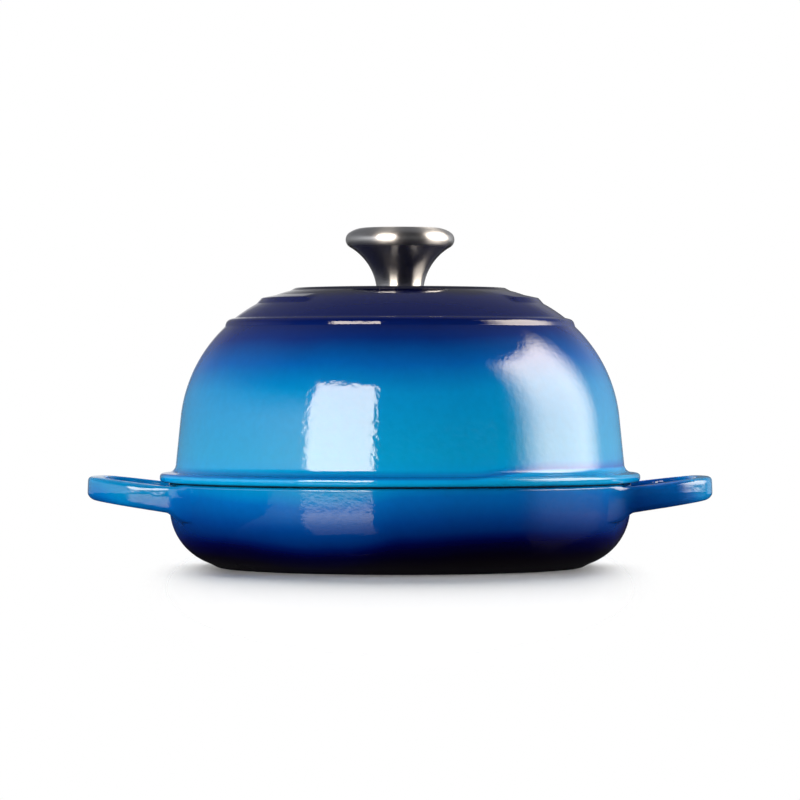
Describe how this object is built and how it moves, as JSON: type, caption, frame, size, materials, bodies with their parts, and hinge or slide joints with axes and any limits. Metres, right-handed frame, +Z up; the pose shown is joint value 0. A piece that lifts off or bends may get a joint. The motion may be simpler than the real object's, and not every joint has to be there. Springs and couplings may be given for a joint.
{
  "type": "bread cloche",
  "caption": "Enamelled cast iron bread cloche: a shallow round pan with loop handles under a tall domed lid with a steel knob, for baking a loaf in its own steam.",
  "frame": {"origin": "centre of the pan's foot, on the surface that it stands on", "axes": "+X along the two handles, +Z up the axis of the pan and the lid; the picture looks along +Y"},
  "size_m": [0.3276, 0.252, 0.1779],
  "materials": {
    "pan_enamel": "glossy blue enamel outside, shaded to near black at the foot, satin black enamel inside",
    "lid_enamel": "glossy blue enamel outside, shaded to navy at the crown, satin black enamel inside",
    "knob_steel": "satin polished stainless steel",
    "fastener_steel": "plain stainless steel"
  },
  "bodies": {
    "base": {"base_pan": "pan_enamel"},
    "lid": {"dome_lid": "lid_enamel", "knob_shell": "knob_steel", "knob_insert": "fastener_steel", "knob_screw": "fastener_steel", "flat_washer": "fastener_steel", "spring_washer": "fastener_steel"}
  },
  "joints": [
    {"name": "lid_lift", "type": "slide", "parent": "base", "child": "lid", "axis": [0, 0, 1], "range_m": [0, 0.18]}
  ]
}
